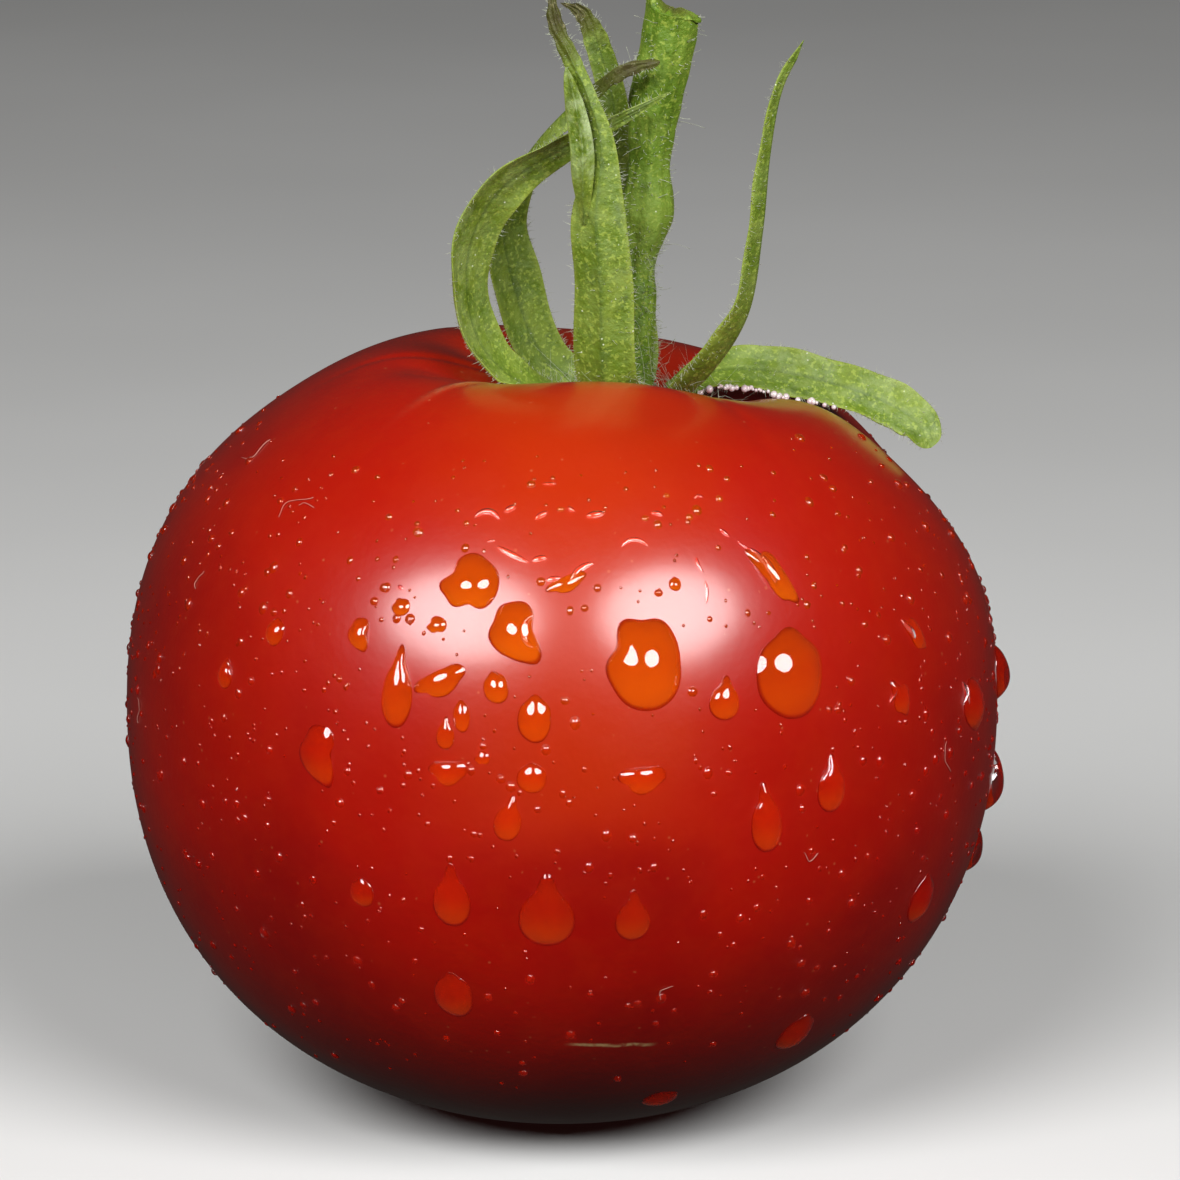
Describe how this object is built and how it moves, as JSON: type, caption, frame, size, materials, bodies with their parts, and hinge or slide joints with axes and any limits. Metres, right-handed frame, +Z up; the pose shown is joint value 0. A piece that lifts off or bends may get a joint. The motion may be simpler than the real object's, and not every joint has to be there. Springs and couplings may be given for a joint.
{
  "type": "tomato",
  "caption": "Ripe round red tomato with its green calyx and a short stub of stalk, resting on a small flat spot.",
  "frame": {"origin": "on the surface that the fruit rests on, under the middle of the fruit", "axes": "+Z up, from the flat spot to the stalk; -Y is the front, where the broad upright sepal stands before the stalk; +X is the right, where one sepal lies over the shoulder"},
  "size_m": [0.056, 0.056, 0.0729],
  "materials": {
    "fruit_skin": "gloss",
    "stalk_green": "matte",
    "sepal_green": "matte",
    "plant_hair": "matte",
    "lint": "matte",
    "water": "polished"
  },
  "bodies": {
    "root": {"fruit": "fruit_skin", "stalk": "stalk_green", "sepal_front": "sepal_green", "sepal_front_left": "sepal_green", "sepal_back_left": "sepal_green", "sepal_back": "sepal_green", "sepal_back_right": "sepal_green", "sepal_front_right": "sepal_green"}
  },
  "joints": []
}
